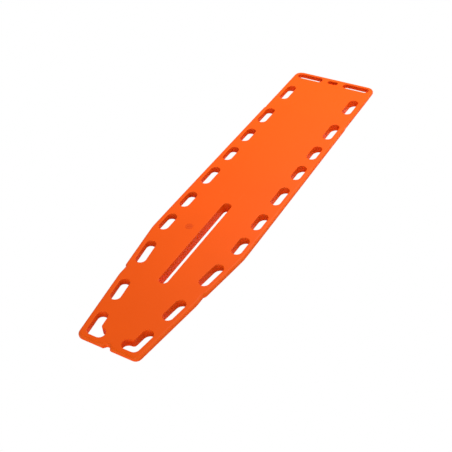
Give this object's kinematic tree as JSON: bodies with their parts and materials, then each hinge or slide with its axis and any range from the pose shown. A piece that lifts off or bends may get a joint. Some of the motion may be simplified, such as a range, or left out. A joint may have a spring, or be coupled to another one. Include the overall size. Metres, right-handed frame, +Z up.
{
  "type": "spine board",
  "caption": "Long flat tapered spine board, foam-filled shell with side hand-holds, corner holds, head-end strap slots, an eye and a long middle slot.",
  "frame": {"origin": "on the floor under the middle of the board, at the centre of its footprint", "axes": "+X across the board, +Y towards the head end, +Z up out of the deck"},
  "size_m": [0.406, 1.829, 0.045],
  "materials": {
    "orange_shell": "satin moulded polyethylene with a fine grain",
    "orange_plug": "satin moulded polyethylene",
    "foam": "matt rigid foam",
    "composite": "satin wound carbon composite",
    "cap": "matt nylon"
  },
  "bodies": {
    "root": {"deck_shell": "orange_shell", "base_shell": "orange_shell", "foam_core": "foam", "left_tube": "composite", "right_tube": "composite", "left_tube_head_cap": "cap", "left_tube_foot_cap": "cap", "right_tube_head_cap": "cap", "right_tube_foot_cap": "cap", "filler_plug": "orange_plug", "head_vent_plug": "orange_plug", "foot_vent_plug": "orange_plug"}
  },
  "joints": []
}
